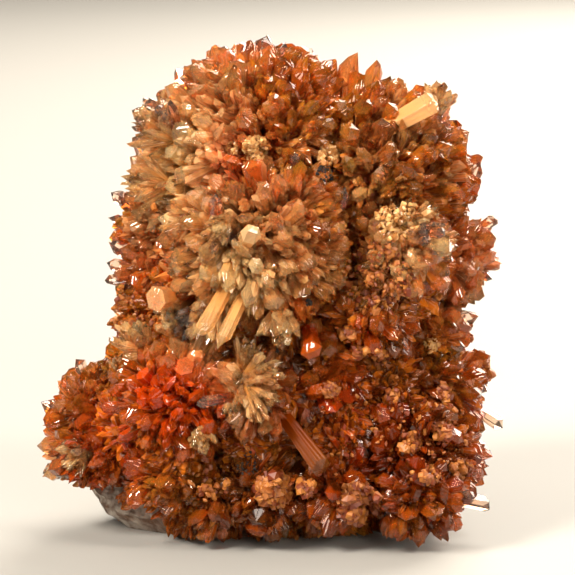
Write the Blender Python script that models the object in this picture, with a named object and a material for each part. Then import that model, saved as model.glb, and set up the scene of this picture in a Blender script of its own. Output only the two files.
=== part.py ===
"""Creedite on matrix: a cabinet specimen that stands on its rough stone.

Orange creedite grew here as bursts, balls of prisms that all point away from one centre. The bursts
ran into each other and form one mass of crystals, which sits over a lump of brown matrix with a flat
underside. Two pieces: creedite, one closed solid, and matrix.

Run with: blender --background --python part.py
Lengths are written in millimetres and turned to metres by MM. +Z is up, the front faces -Y, and the
origin is on the flat underside.
"""

import math
import random
from collections import namedtuple

import bmesh
import bpy
from mathutils import Matrix, Vector, noise

MM = 0.001

# Driving dimensions
CRYSTAL_SPACING = 7.2 * MM  # between neighbouring tips on a burst
FREE_LENGTH = 5.6 * MM  # of a crystal, from where it leaves its neighbours to its tip
CORE_SHARE_LEAST = 0.52  # a small burst keeps at least this share of its reach as its solid core
TIP_SHARE = 0.38  # of the free length that is the pointed end
SHOULDER_SCALE = (0.62, 0.92)  # width at the shoulder against the root's
LENGTH_SHARE = (0.72, 1.0)  # a crystal's reach beyond the core, against the burst's longest
ROOT_JITTER = 0.34  # how far a root strays from the even pattern, against the spacing
TIP_STRAY = 0.16  # how far a tip stands off its axis, against the shoulder's width
SHORTEST_CRYSTAL = 1.8 * MM  # one with less room than this isn't drawn out
FLOOR_CLEARANCE = 0.7 * MM  # crystals end above the surface that the matrix stands on
SOCKET_GAP = 0.3 * MM  # between the crystals and the matrix
NEIGHBOUR_GAP = 0.5 * MM  # a crystal stops this short of a neighbouring burst
SEED = 41

GOLDEN_ANGLE = math.pi * (3 - math.sqrt(5))

Burst = namedtuple("Burst", "x y z reach")

# Each burst: its centre, and how far its longest tips stand from that centre, in millimetres.
# The crown's four large ones make the dome, and the others its flanks, the waist and the feet.
BURSTS = {
    "crown_left": Burst(-2.2, 1.0, 56.9, 20.4),
    "crown_right": Burst(13.4, 2.0, 52.0, 20.2),
    "crown_front": Burst(-1.0, -8.0, 47.2, 17.8),
    "crown_back": Burst(5.0, 12.0, 48.5, 17.8),
    "left_shoulder": Burst(-17.4, 7.0, 45.6, 9.8),
    "left_side": Burst(-19.0, 5.0, 39.8, 7.4),
    "left_flank": Burst(-17.2, 6.0, 34.2, 10.4),
    "left_hip": Burst(-19.6, -4.0, 28.4, 7.6),
    "right_flank": Burst(25.2, -1.0, 42.6, 10.4),
    "right_cream": Burst(18.6, -12.0, 45.5, 9.8),
    "right_belly": Burst(14.0, -10.5, 35.5, 9.4),
    "right_waist": Burst(22.0, -3.0, 31.6, 9.8),
    "right_knee": Burst(24.6, -4.0, 23.4, 10.0),
    "right_foot": Burst(21.0, -7.0, 13.8, 13.8),
    "right_toe": Burst(21.6, -13.6, 8.6, 9.6),
    "red_heart": Burst(-14.2, -12.0, 23.0, 12.8),
    "far_left": Burst(-27.6, -4.0, 12.2, 10.2),
    "far_left_top": Burst(-27.2, -3.0, 18.8, 9.2),
    "pale_fan": Burst(-3.4, -16.0, 24.4, 9.2),
    "left_foot": Burst(-16.6, -11.5, 10.8, 8.8),
    "between_feet": Burst(-9.6, -12.0, 7.8, 7.8),
    "front_foot": Burst(-2.5, -13.0, 9.6, 9.6),
    "front_foot_right": Burst(8.5, -12.5, 9.8, 9.6),
    "front_waist": Burst(7.0, -11.5, 27.0, 9.6),
    "back_waist": Burst(-6.0, 13.0, 31.5, 12.4),
    "back_right": Burst(17.0, 11.0, 25.0, 13.0),
    "back_middle": Burst(7.0, 13.0, 35.0, 12.6),
}

Standout = namedtuple("Standout", "root tip width")

# Single crystals that stand out: root, tip and width, in millimetres.
STANDOUTS = {
    "clear_pair_long": Standout((-3.5, -16.0, 42.0), (-8.4, -27.0, 32.6), 3.6),
    "clear_pair_short": Standout((-6.5, -16.0, 42.0), (-11.0, -26.0, 34.5), 3.2),
    "leaning_orange": Standout((1.5, -18.0, 21.0), (8.6, -25.0, 11.8), 3.8),
    "blunt_orange": Standout((5.5, -10.0, 33.0), (6.2, -25.0, 29.0), 4.4),
    "upper_right_glass": Standout((13.0, -9.0, 60.0), (25.2, -10.0, 66.0), 3.9),
    "right_peak_inner": Standout((9.0, 2.0, 62.0), (11.9, 1.0, 74.3), 3.4),
    "right_peak_outer": Standout((12.0, 2.0, 62.0), (15.8, 1.0, 72.9), 3.2),
    "top_point": Standout((-1.6, 1.0, 66.0), (-1.2, 0.0, 77.2), 3.2),
    "cream_right": Standout((18.0, -16.0, 46.0), (26.0, -21.5, 42.6), 3.6),
    "right_clear_tip": Standout((28.0, -6.0, 15.5), (36.4, -7.0, 17.4), 2.6),
}

STANDOUT_SIDES = 6
POINT_SHARE = 1.3  # length of a standout's point, against its radius
STANDOUT_TAPER = 0.92  # radius at the shoulder, against the root's
FLATNESS = 0.72  # thickness of a standout, against its width

Ball = namedtuple("Ball", "x y z radius")

# Where the bursts have grown solid behind their free ends, with no gap left between them.
GROWN_SOLID = (
    Ball(2.0, 4.0, 48.0, 15.0),
    Ball(6.0, 6.0, 55.0, 10.5),
    Ball(2.0, 1.0, 33.0, 12.0),
    Ball(0.0, 9.0, 37.0, 8.0),
    Ball(-12.0, 4.0, 39.0, 7.5),
    Ball(-11.0, -3.0, 29.0, 6.5),
    Ball(16.0, -3.0, 38.0, 9.0),
    Ball(15.5, -3.0, 22.0, 9.5),
    Ball(-13.0, -7.0, 22.0, 7.5),
    Ball(-22.5, -6.5, 17.0, 5.4),
    Ball(-15.5, -11.5, 15.5, 5.0),
    Ball(-3.0, -12.0, 17.0, 5.0),
    Ball(3.0, -10.5, 26.0, 6.0),
    Ball(9.5, -10.5, 17.5, 5.5),
)
BALL_SUBDIVISIONS = 2

# The matrix: a rough lump under the crown and between the lower bursts.
MATRIX_CENTRE = Vector((-3.0, 2.5, 10.5)) * MM
MATRIX_RADII = Vector((30.5, 15.0, 14.5)) * MM
MATRIX_ROUGHNESS = 0.13  # how far its lumps stand out, against its radius
MATRIX_LUMP = 13.0 * MM  # across a typical lump of it
LUMP_FALLOFF, LUMP_STEP, LUMP_OCTAVES = 0.9, 2.1, 3  # finer lumps on the large ones
MATRIX_SUBDIVISIONS = 3

CREEDITE_COLOUR = (0.80, 0.23, 0.04, 1.0)
MATRIX_COLOUR = (0.17, 0.12, 0.09, 1.0)


def clear_scene():
    for old in list(bpy.data.objects):
        bpy.data.objects.remove(old)


def principled(name, colour, roughness, transmission=0.0):
    material = bpy.data.materials.new(name)
    material.use_nodes = True
    shader = material.node_tree.nodes["Principled BSDF"]
    shader.inputs["Base Color"].default_value = colour
    shader.inputs["Roughness"].default_value = roughness
    shader.inputs["Transmission Weight"].default_value = transmission
    return material


def object_from(bm, name, collection):
    mesh = bpy.data.meshes.new(name)
    bmesh.ops.recalc_face_normals(bm, faces=bm.faces)
    bm.to_mesh(mesh)
    bm.free()
    made = bpy.data.objects.new(name, mesh)
    collection.objects.link(made)
    return made


def even_directions(count, rng):
    """Unit vectors spread over a ball by the golden angle, each moved a little so that no rows show."""
    stray = ROOT_JITTER * math.sqrt(4 * math.pi / count)
    turn = rng.uniform(0, 2 * math.pi)
    for i in range(count):
        height = 1 - 2 * (i + 0.5) / count
        around = turn + i * GOLDEN_ANGLE
        ring = math.sqrt(1 - height * height)
        even = Vector((ring * math.cos(around), ring * math.sin(around), height))
        moved = even + Vector([rng.uniform(-stray, stray) for _ in range(3)])
        yield moved.normalized()


def centre_of(ball):
    return Vector((ball.x, ball.y, ball.z)) * MM


def core_of(burst):
    """The radius inside which a burst's crystals have no gaps."""
    return max(burst.reach * MM - FREE_LENGTH, burst.reach * MM * CORE_SHARE_LEAST)


def room_to_neighbours(root, axis, name):
    """How far a crystal can grow from root along axis before it meets a neighbouring burst.

    Two bursts meet on the plane through the circle where their cores cross. Across it, the
    difference of the squared distances to the two cores changes sign, and along a line that
    difference is a straight line too, so its zero is where the crystal stops.
    """
    own = BURSTS[name]
    room = own.reach * MM
    for other_name, other in BURSTS.items():
        if other_name == name:
            continue
        between = centre_of(other) - centre_of(own)
        start = (root - centre_of(own)).length_squared - core_of(own) ** 2
        start -= (root - centre_of(other)).length_squared - core_of(other) ** 2
        slope = 2 * axis.dot(between)
        if start > 0:
            return 0.0
        if slope > 0:
            room = min(room, -start / slope - NEIGHBOUR_GAP)
    return room


def matrix_skin(outward):
    """The point of the lump's surface in that direction from its centre: an egg, pushed by noise."""
    egg = Vector(a * b for a, b in zip(outward, MATRIX_RADII))
    place = (egg + MATRIX_CENTRE) / MATRIX_LUMP
    lump = noise.fractal(place, LUMP_FALLOFF, LUMP_STEP, LUMP_OCTAVES)
    return MATRIX_CENTRE + egg * (1 + MATRIX_ROUGHNESS * lump)


def is_buried(point):
    """True inside the matrix or where the bursts have grown solid: no crystal is drawn out there."""
    if any((point - centre_of(ball)).length < ball.radius * MM for ball in GROWN_SOLID):
        return True
    from_centre = point - MATRIX_CENTRE
    outward = Vector(a / b for a, b in zip(from_centre, MATRIX_RADII)).normalized()
    return from_centre.length < (matrix_skin(outward) - MATRIX_CENTRE).length


def free_length(face, name, rng):
    """How long the crystal on this face of a burst's core is, or 0 where none can grow."""
    burst = BURSTS[name]
    root = face.calc_center_median()
    axis = (root - centre_of(burst)).normalized()
    free = (burst.reach * MM - (root - centre_of(burst)).length) * rng.uniform(*LENGTH_SHARE)
    free = min(free, room_to_neighbours(root, axis, name))
    if axis.z < 0:
        free = min(free, (root.z - FLOOR_CLEARANCE) / -axis.z)
    if free < SHORTEST_CRYSTAL or is_buried(root) or is_buried(root + axis * free):
        return 0.0
    return free


def draw_out_crystal(bm, face, centre, free, rng):
    """Draws one face of a burst's core out to a prism that narrows to its shoulder, and points it."""
    root = face.calc_center_median()
    axis = (root - centre).normalized()
    scale = rng.uniform(*SHOULDER_SCALE)
    shoulder = root + axis * free * (1 - TIP_SHARE)
    for vert in face.verts:
        across = vert.co - root
        vert.co = shoulder + across * scale
    width = max((vert.co - shoulder).length for vert in face.verts)
    stray = Vector([rng.uniform(-1, 1) for _ in range(3)]) * width * TIP_STRAY
    stray -= axis * stray.dot(axis)
    (tip,) = bmesh.ops.poke(bm, faces=[face])["verts"]
    tip.co = root + axis * free + stray
    tip.co.z = max(tip.co.z, FLOOR_CLEARANCE)


def make_burst(name, collection):
    """A ball of crystals: a faceted core whose faces, mostly lozenges, are each drawn out to a crystal."""
    burst = BURSTS[name]
    centre = centre_of(burst)
    rng = random.Random(f"{SEED} {name}")
    count = round(4 * math.pi * (burst.reach * MM / CRYSTAL_SPACING) ** 2)
    bm = bmesh.new()
    for direction in even_directions(count, rng):
        bm.verts.new(centre + direction * core_of(burst))
    bmesh.ops.convex_hull(bm, input=bm.verts[:])
    bmesh.ops.join_triangles(
        bm, faces=bm.faces[:], angle_face_threshold=math.pi, angle_shape_threshold=math.pi
    )
    room = [(face, free_length(face, name, rng)) for face in bm.faces]
    growing = [(face, free) for face, free in room if free]
    roots = [face for face, free in growing]
    drawn = bmesh.ops.extrude_discrete_faces(bm, faces=roots)["faces"]
    for face, (_, free) in zip(drawn, growing):
        draw_out_crystal(bm, face, centre, free, rng)
    return object_from(bm, name, collection)


def make_standout(name, standout, collection):
    """A long six-sided crystal: a cylinder primitive whose outer end is poked out to a point."""
    root, tip = Vector(standout.root) * MM, Vector(standout.tip) * MM
    radius = standout.width * MM / 2
    point_length = radius * POINT_SHARE
    length = (tip - root).length - point_length
    bm = bmesh.new()
    bmesh.ops.create_cone(
        bm,
        cap_ends=True,
        segments=STANDOUT_SIDES,
        radius1=radius,
        radius2=radius * STANDOUT_TAPER,
        depth=length,
    )
    end = max(bm.faces, key=lambda face: face.calc_center_median().z)
    (point,) = bmesh.ops.poke(bm, faces=[end])["verts"]
    point.co.z += point_length
    bmesh.ops.scale(bm, vec=(1.0, FLATNESS, 1.0), verts=bm.verts[:])
    bmesh.ops.translate(bm, vec=(0, 0, length / 2), verts=bm.verts[:])
    turn = (tip - root).to_track_quat("Z", "Y").to_matrix().to_4x4()
    bmesh.ops.transform(bm, matrix=Matrix.Translation(root) @ turn, verts=bm.verts[:])
    return object_from(bm, name, collection)


def make_ball(ball, collection):
    bm = bmesh.new()
    place = Matrix.Translation(centre_of(ball))
    bmesh.ops.create_icosphere(
        bm, subdivisions=BALL_SUBDIVISIONS, radius=ball.radius * MM, matrix=place
    )
    return object_from(bm, "grown_solid", collection)


def make_matrix(collection, name, grow=0.0):
    """The lump: a ball pushed in and out by noise, then cut flat underneath. grow moves its skin out."""
    bm = bmesh.new()
    bmesh.ops.create_icosphere(bm, subdivisions=MATRIX_SUBDIVISIONS, radius=1.0)
    for vert in bm.verts:
        outward = vert.co.normalized()
        vert.co = matrix_skin(outward) + outward * grow
    cut = bmesh.ops.bisect_plane(
        bm,
        geom=bm.verts[:] + bm.edges[:] + bm.faces[:],
        plane_co=(0, 0, -grow),
        plane_no=(0, 0, -1),
        clear_outer=True,
    )
    rim = [part for part in cut["geom_cut"] if isinstance(part, bmesh.types.BMEdge)]
    bmesh.ops.contextual_create(bm, geom=rim)
    return object_from(bm, name, collection)


def boolean(target, operation, **operand):
    """Joins or cuts closed meshes. So many crossing bursts need MANIFOLD: EXACT loses most of them."""
    modifier = target.modifiers.new(operation.title(), "BOOLEAN")
    modifier.operation = operation
    modifier.solver = "MANIFOLD"
    for setting, value in operand.items():
        setattr(modifier, setting, value)
    return modifier


def main():
    clear_scene()
    scene = bpy.context.scene
    specimen = bpy.data.collections.new("creedite_on_matrix")
    helpers = bpy.data.collections.new("bursts_and_cutters")
    scene.collection.children.link(specimen)
    scene.collection.children.link(helpers)
    grown = bpy.data.collections.new("grown_together")
    helpers.children.link(grown)

    first, *others = BURSTS
    creedite = make_burst(first, specimen)
    creedite.name = "creedite"
    for name in others:
        make_burst(name, grown)
    for name, standout in STANDOUTS.items():
        make_standout(name, standout, grown)
    for ball in GROWN_SOLID:
        make_ball(ball, grown)
    socket = make_matrix(helpers, "socket_cutter", grow=SOCKET_GAP)
    boolean(creedite, "UNION", operand_type="COLLECTION", collection=grown)
    boolean(creedite, "DIFFERENCE", object=socket)
    for helper in helpers.all_objects:
        helper.hide_render = True
        helper.display_type = "WIRE"

    matrix = make_matrix(specimen, "matrix")
    creedite.data.materials.append(principled("creedite", CREEDITE_COLOUR, 0.15, 0.4))
    matrix.data.materials.append(principled("matrix_rock", MATRIX_COLOUR, 0.85))


main()
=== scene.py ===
"""Creedite on matrix, dressed: bursts of orange, see-through prisms grown together over dark rock.

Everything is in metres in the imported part's own space: +Z is up and the front faces -Y. Sizes are
written in millimetres and turned to metres by MM.
"""

import math

import bmesh
import bpy
import numpy as np
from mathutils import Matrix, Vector


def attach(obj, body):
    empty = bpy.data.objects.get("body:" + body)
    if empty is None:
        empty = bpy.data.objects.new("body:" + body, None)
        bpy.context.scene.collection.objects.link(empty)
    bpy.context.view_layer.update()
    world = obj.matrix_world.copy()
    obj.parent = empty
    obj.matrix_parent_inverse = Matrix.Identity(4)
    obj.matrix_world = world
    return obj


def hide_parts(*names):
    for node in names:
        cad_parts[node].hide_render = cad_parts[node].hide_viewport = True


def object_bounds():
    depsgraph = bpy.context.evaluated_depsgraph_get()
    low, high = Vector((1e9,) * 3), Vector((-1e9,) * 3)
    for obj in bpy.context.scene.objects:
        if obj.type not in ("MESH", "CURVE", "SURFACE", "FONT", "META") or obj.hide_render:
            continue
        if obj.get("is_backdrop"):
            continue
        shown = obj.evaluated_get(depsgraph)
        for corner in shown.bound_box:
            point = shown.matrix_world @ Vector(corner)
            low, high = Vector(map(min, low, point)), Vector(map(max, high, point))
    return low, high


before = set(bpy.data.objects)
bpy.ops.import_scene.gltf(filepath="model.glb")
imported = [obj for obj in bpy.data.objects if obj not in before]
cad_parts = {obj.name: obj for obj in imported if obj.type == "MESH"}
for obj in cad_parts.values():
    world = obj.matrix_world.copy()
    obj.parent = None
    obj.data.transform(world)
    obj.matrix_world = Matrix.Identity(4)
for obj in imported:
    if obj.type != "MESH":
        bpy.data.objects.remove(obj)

CAD_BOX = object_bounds()
MM = 0.001


# Photographer's table: a pale floor, a broad soft light from the upper left front, a weaker one from
# the right, one behind that shines through the crystals, and a pale room all round.
# The camera stands half a metre away and looks down by ten degrees, with a long lens.

CAMERA_DISTANCE = 0.493
CAMERA_RISE = math.radians(10)
CAMERA_LENS = 200.0
LOOKED_AT = Vector((0.00177, 0.0, 0.0378))


def linear(hex_colour):
    """An sRGB hex colour as linear RGBA: c / 12.92 when dark, else ((c + 0.055) / 1.055) ** 2.4."""
    channels = [int(hex_colour[i : i + 2], 16) / 255 for i in (1, 3, 5)]
    return [c / 12.92 if c <= 0.04045 else ((c + 0.055) / 1.055) ** 2.4 for c in channels] + [1.0]


def add_node(tree, kind, links=(), **settings):
    """Adds a node, sets its properties and sockets by name, and joins (socket, source output) pairs."""
    node = tree.nodes.new(kind)
    for name, value in settings.items():
        if hasattr(node, name):
            setattr(node, name, value)
        else:
            node.inputs[name.replace("_", " ")].default_value = value
    for socket, source in dict(links).items():
        tree.links.new(source, node.inputs[socket])
    return node


def new_material(name):
    material = bpy.data.materials.new(name)
    material.use_nodes = True
    tree = material.node_tree
    return material, tree, tree.nodes["Principled BSDF"]


def set_camera():
    data = bpy.data.cameras.new("camera")
    data.lens = CAMERA_LENS
    data.clip_start, data.clip_end = 0.01, 20.0
    camera = bpy.data.objects.new("camera", data)
    back = Vector((0.0, -math.cos(CAMERA_RISE), math.sin(CAMERA_RISE)))
    camera.location = LOOKED_AT + back * CAMERA_DISTANCE
    camera.rotation_euler = back.to_track_quat("Z", "Y").to_euler()
    bpy.context.scene.collection.objects.link(camera)
    bpy.context.scene.camera = camera


def softbox(name, place, size, watts):
    """A square area light at place, turned to the middle of the specimen."""
    data = bpy.data.lights.new(name, "AREA")
    data.size = size
    data.energy = watts
    data.color = linear("#FFF6EA")[:3]
    light = bpy.data.objects.new(name, data)
    light.location = place
    light.rotation_euler = (Vector(place) - LOOKED_AT).to_track_quat("Z", "Y").to_euler()
    bpy.context.scene.collection.objects.link(light)


FLOOR_RADIUS = 3.0
FLOOR_SIDES = 96
floor_turn = np.linspace(0, 2 * np.pi, FLOOR_SIDES, endpoint=False)
floor_rim = FLOOR_RADIUS * np.stack([np.cos(floor_turn), np.sin(floor_turn), 0 * floor_turn], 1)
floor_mesh = bpy.data.meshes.new("floor")
floor_mesh.from_pydata(floor_rim.tolist(), [], [list(range(FLOOR_SIDES))])
floor = bpy.data.objects.new("floor", floor_mesh)
bpy.context.scene.collection.objects.link(floor)
floor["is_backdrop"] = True
paper, _, paper_shader = new_material("matte_paper_floor")
paper_shader.inputs["Base Color"].default_value = linear("#96948F")
paper_shader.inputs["Roughness"].default_value = 0.8
floor_mesh.materials.append(paper)

world = bpy.data.worlds.new("pale_room")
bpy.context.scene.world = world
world.use_nodes = True
room = world.node_tree.nodes["Background"]
room.inputs["Color"].default_value = linear("#EEE2D6")
room.inputs["Strength"].default_value = 0.10

bpy.context.scene.view_settings.view_transform = "Standard"
bpy.context.scene.cycles.max_bounces = 24
bpy.context.scene.cycles.transmission_bounces = 24
set_camera()
softbox("key", (-0.55, -0.45, 0.62), 0.26, 16.2)
softbox("fill", (0.30, -0.85, 0.30), 0.40, 5.5)
softbox("above", (0.10, -0.10, 2.00), 1.60, 19.0)
softbox("glint", (0.50, -0.40, 0.70), 0.22, 5.0)
softbox("behind", (0.40, 0.62, 0.50), 0.80, 24.0)


# Matrix: the lump of iron-stained volcanic rock that the crystals grew on, cut flat by nature's own
# break below. It is rough and dark brown, with fine sparkling grains and a paler grey-white skin at
# the lower left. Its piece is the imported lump, split finely and broken up by noise.

MATRIX_SPLITS = 9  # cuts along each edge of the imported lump
LUMPS = ((6.0, 1.6), (2.4, 1.1), (0.9, 0.5))  # size across and height, in mm


def lattice_noise(points, size, seed):
    """Smooth noise from -1 to 1 at each point: random values on a cubic lattice of that size, each
    value frac(sin(i . (127.1, 311.7, 74.7) + seed) * 43758.5), blended by t * t * (3 - 2 * t)."""
    scaled = np.asarray(points) / size
    base = np.floor(scaled)
    t = scaled - base
    t = t * t * (3 - 2 * t)
    total = np.zeros(len(scaled))
    for corner in np.ndindex(2, 2, 2):
        lattice = (base + corner) @ (127.1, 311.7, 74.7) + seed * 17.23
        value = np.sin(lattice) * 43758.5453
        weight = np.prod(np.where(corner, t, 1 - t), axis=1)
        total += weight * (value - np.floor(value))
    return 2 * total - 1


def mesh_object(name, points, faces, attributes=()):
    """A mesh object at the origin from an array of points and lists of faces, with float attributes."""
    mesh = bpy.data.meshes.new(name)
    mesh.from_pydata(np.asarray(points).tolist(), [], faces)
    for label, values in dict(attributes).items():
        layer = mesh.attributes.new(label, "FLOAT", "POINT")
        layer.data.foreach_set("value", np.asarray(values, np.float32))
    made = bpy.data.objects.new(name, mesh)
    bpy.context.scene.collection.objects.link(made)
    return made


def vertex_array(mesh, what="co"):
    flat = np.empty(3 * len(mesh.vertices), np.float32)
    mesh.vertices.foreach_get(what, flat)
    return flat.reshape(-1, 3).astype(float)


packed_matrix = bpy.data.objects["matrix"].data
bm = bmesh.new()
bm.from_mesh(packed_matrix)
bmesh.ops.remove_doubles(bm, verts=bm.verts[:], dist=1e-5)
lump = bpy.data.meshes.new("matrix_lump")
bm.to_mesh(lump)
matrix_points = vertex_array(lump)
matrix_centre = (matrix_points.max(0) + matrix_points.min(0)) / 2
bmesh.ops.subdivide_edges(bm, edges=bm.edges[:], cuts=MATRIX_SPLITS, use_grid_fill=True)
bmesh.ops.triangulate(bm, faces=bm.faces[:])
rock_mesh = bpy.data.meshes.new("matrix_rock")
bm.to_mesh(rock_mesh)
bm.free()
rock = bpy.data.objects.new("matrix_rock", rock_mesh)
bpy.context.scene.collection.objects.link(rock)
rock_points = vertex_array(rock_mesh)
rock_normals = vertex_array(rock_mesh, "normal")
rise = np.clip(rock_points[:, 2] / (3 * MM), 0, 1)  # the flat underside stays flat
push = np.zeros(len(rock_points))
for size, height in LUMPS:
    push -= np.abs(lattice_noise(rock_points, size * MM, 3)) * height * MM
rock_points += rock_normals * (push * rise)[:, None]
rock_mesh.vertices.foreach_set("co", rock_points.astype(np.float32).ravel())
rock_mesh.update()

stone, tree, shader = new_material("iron_stained_volcanic_rock")
place = add_node(tree, "ShaderNodeTexCoord").outputs["Object"]
stain = add_node(tree, "ShaderNodeTexNoise", {"Vector": place}, Scale=1 / (9 * MM), Detail=6.0)
grain = add_node(tree, "ShaderNodeTexNoise", {"Vector": place}, Scale=1 / (0.8 * MM), Detail=3.0)
rock_colour = add_node(tree, "ShaderNodeValToRGB", {"Fac": stain.outputs["Fac"]})
ramp = rock_colour.color_ramp
ramp.elements[0].position, ramp.elements[0].color = 0.36, linear("#2A1A10")
ramp.elements[1].position, ramp.elements[1].color = 0.66, linear("#6A4226")
grey = add_node(tree, "ShaderNodeMix", data_type="RGBA", blend_type="MIX")
axes = add_node(tree, "ShaderNodeSeparateXYZ", {"Vector": place})
left = add_node(tree, "ShaderNodeMapRange", {"Value": axes.outputs["X"]})
for socket, value in zip(("From Min", "From Max", "To Min", "To Max"), (-0.014, -0.026, 0, 1)):
    left.inputs[socket].default_value = value
blotch = add_node(tree, "ShaderNodeTexNoise", {"Vector": place}, Scale=1 / (2.2 * MM), Detail=5.0)
skin = add_node(tree, "ShaderNodeMapRange", {"Value": blotch.outputs["Fac"]})
for socket, value in zip(("From Min", "From Max", "To Min", "To Max"), (0.42, 0.6, 0.12, 0.9)):
    skin.inputs[socket].default_value = value
patches = add_node(tree, "ShaderNodeMath", operation="MULTIPLY")
tree.links.new(left.outputs["Result"], patches.inputs[0])
tree.links.new(skin.outputs["Result"], patches.inputs[1])
tree.links.new(patches.outputs[0], grey.inputs["Factor"])
tree.links.new(rock_colour.outputs["Color"], grey.inputs[6])
grey.inputs[7].default_value = linear("#CCC2B4")
tree.links.new(grey.outputs[2], shader.inputs["Base Color"])
shader.inputs["Roughness"].default_value = 0.7
bump = add_node(tree, "ShaderNodeBump", {"Height": grain.outputs["Fac"]}, Distance=0.6 * MM)
tree.links.new(bump.outputs["Normal"], shader.inputs["Normal"])
rock_mesh.materials.append(stone)
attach(rock, "root")
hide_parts("matrix")


# Creedite bursts: hundreds of monoclinic prisms stand out of one centre. They are packed tight at the
# root, where iron stains them deep orange, and end free in clear, wedge-shaped tips.
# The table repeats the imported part's bursts: centre and reach in mm.

BURSTS = {
    "crown_left": (-2.2, 1.0, 56.9, 20.4),
    "crown_right": (13.4, 2.0, 52.0, 20.2),
    "crown_front": (-1.0, -8.0, 47.2, 17.8),
    "crown_back": (5.0, 12.0, 48.5, 17.8),
    "left_shoulder": (-17.4, 7.0, 45.6, 9.8),
    "left_side": (-19.0, 5.0, 39.8, 7.4),
    "left_flank": (-17.2, 6.0, 34.2, 10.4),
    "left_hip": (-19.6, -4.0, 28.4, 7.6),
    "right_flank": (25.2, -1.0, 42.6, 10.4),
    "right_cream": (18.6, -12.0, 45.5, 9.8),
    "right_belly": (14.0, -10.5, 35.5, 9.4),
    "right_waist": (22.0, -3.0, 31.6, 9.8),
    "right_knee": (24.6, -4.0, 23.4, 10.0),
    "right_foot": (21.0, -7.0, 13.8, 13.8),
    "right_toe": (21.6, -13.6, 8.6, 9.6),
    "red_heart": (-14.2, -12.0, 23.0, 12.8),
    "far_left": (-27.6, -4.0, 12.2, 10.2),
    "far_left_top": (-27.2, -3.0, 18.8, 9.2),
    "pale_fan": (-3.4, -16.0, 24.4, 9.2),
    "left_foot": (-16.6, -11.5, 10.8, 8.8),
    "between_feet": (-9.6, -12.0, 7.8, 7.8),
    "front_foot": (-2.5, -13.0, 9.6, 9.6),
    "front_foot_right": (8.5, -12.5, 9.8, 9.6),
    "front_waist": (7.0, -11.5, 27.0, 9.6),
    "back_waist": (-6.0, 13.0, 31.5, 12.4),
    "back_right": (17.0, 11.0, 25.0, 13.0),
    "back_middle": (7.0, 13.0, 35.0, 12.6),
}
# Balls of grown-together crystal that fill the room between the bursts: centre and radius in mm.
GROWN_SOLID = (
    (2.0, 4.0, 48.0, 15.0), (6.0, 6.0, 55.0, 10.5), (2.0, 1.0, 33.0, 12.0), (0.0, 9.0, 37.0, 8.0),
    (-12.0, 4.0, 39.0, 7.5), (-11.0, -3.0, 29.0, 6.5), (16.0, -3.0, 38.0, 9.0),
    (15.5, -3.0, 22.0, 9.5), (-13.0, -7.0, 22.0, 7.5), (-22.5, -6.5, 17.0, 5.4),
    (-15.5, -11.5, 15.5, 5.0), (-3.0, -12.0, 17.0, 5.0), (3.0, -10.5, 26.0, 6.0),
    (9.5, -10.5, 17.5, 5.5),
)
CENTRES = np.array([burst[:3] for burst in BURSTS.values()]) * MM
REACHES = np.array([burst[3] for burst in BURSTS.values()]) * MM
CORES = np.maximum(REACHES - 5.6 * MM, REACHES * 0.52)  # radius up to which a burst is grown solid
FLOOR_GAP = 0.5 * MM
GOLDEN_ANGLE = np.pi * (3 - np.sqrt(5))


def even_directions(count, stray, rng):
    """Unit vectors on a ball: height 1 - 2 * (i + 0.5) / n, turned by i golden angles, then jittered."""
    i = np.arange(count)
    height = 1 - 2 * (i + 0.5) / count
    ring = np.sqrt(1 - height**2)
    turn = i * GOLDEN_ANGLE + rng.uniform(0, 2 * np.pi)
    even = np.stack([ring * np.cos(turn), ring * np.sin(turn), height], 1)
    moved = even + rng.uniform(-stray, stray, (count, 3)) * np.sqrt(4 * np.pi / count)
    return moved / np.linalg.norm(moved, axis=1)[:, None]


def room_outwards(directions, index):
    """Distance from a burst's centre to the planes it shares with its neighbours.

    Bursts meet on the plane through the circle where their cores cross:
    t = (L * L + r * r - q * q) / (2 * d . L), with L from this centre to the other's, r and q the cores.
    """
    between = CENTRES - CENTRES[index]
    facing = directions @ between.T
    top = (between**2).sum(1) + CORES[index] ** 2 - CORES**2
    with np.errstate(divide="ignore", invalid="ignore"):
        planes = np.where(facing > 1e-6, top / (2 * facing), np.inf)
    planes[:, index] = np.inf
    return planes.min(1)


def inside_matrix(points):
    """True where a point is nearer to the lump's centre than the lump's own point that way."""
    out = points - matrix_centre
    skin = matrix_points - matrix_centre
    radii = np.linalg.norm(skin, axis=1)
    far = np.linalg.norm(out, axis=1)
    nearest = np.argmax((out / far[:, None]) @ (skin / radii[:, None]).T, axis=1)
    return far < radii[nearest]


def drift(points, size, seed):
    """A smooth random vector at each point: three lattice noises side by side."""
    return np.stack([lattice_noise(points, size, seed + 3 * k) for k in range(3)], 1)


def bare_rock(points):
    """True at the lower left, where the rock shows its grey skin."""
    x, y, z = points.T / MM
    return (x < -17) & (y < 6) & (z < 6.2 - 0.15 * (x + 16))


def buried(points):
    """True where a point lies in the solid heart of a burst, in a grown-together ball or in the rock."""
    deep = inside_matrix(points)
    for centre, core in zip(CENTRES, CORES):
        deep |= np.linalg.norm(points - centre, axis=1) < core * 0.86
    for ball in GROWN_SOLID:
        deep |= np.linalg.norm(points - np.array(ball[:3]) * MM, axis=1) < (ball[3] - 0.3) * MM
    return deep


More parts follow.
